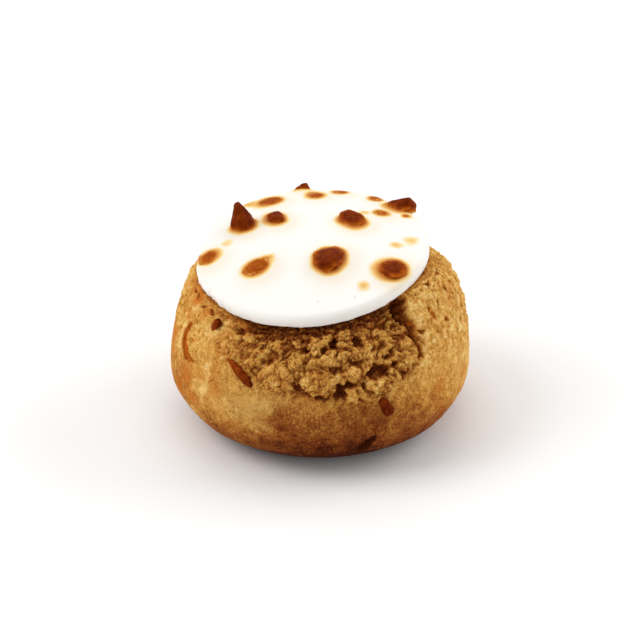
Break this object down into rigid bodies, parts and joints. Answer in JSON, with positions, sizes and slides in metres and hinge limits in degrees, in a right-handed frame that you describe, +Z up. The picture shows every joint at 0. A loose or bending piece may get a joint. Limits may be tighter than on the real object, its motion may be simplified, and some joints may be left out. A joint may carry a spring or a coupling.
{
  "type": "choux bun",
  "caption": "Round choux bun with a crumbly craquelin crust, a tilted disc of white icing on its crown and caramelised nut pieces set into the icing.",
  "frame": {"origin": "middle of the flat base that the bun rests on, at the bottom centre of its box", "axes": "+Z up; -Y is the front, the side with the broken crust, which the icing disc tilts towards; +X is to the right seen from the front"},
  "size_m": [0.051, 0.051, 0.0351],
  "materials": {
    "crust": "baked golden-brown choux, smooth and darker towards the base, under a crumbly craquelin crust",
    "icing": "white rolled icing with a satin surface, stained golden round the nuts",
    "nut": "caramelised chopped nut, dark amber to red-brown with a dull gloss"
  },
  "bodies": {
    "root": {"choux_bun": "crust", "icing_disc": "icing", "nut_tall": "nut", "nut_small": "nut", "nut_middle": "nut", "nut_right_back": "nut", "nut_rim_right": "nut", "nut_right_front": "nut", "nut_rim_back": "nut", "nut_flush_back_left": "nut", "nut_flush_left": "nut", "nut_flush_front": "nut", "nut_flush_back": "nut", "nut_bump_back": "nut", "nut_bump_right": "nut", "nut_chip": "nut"}
  },
  "joints": []
}
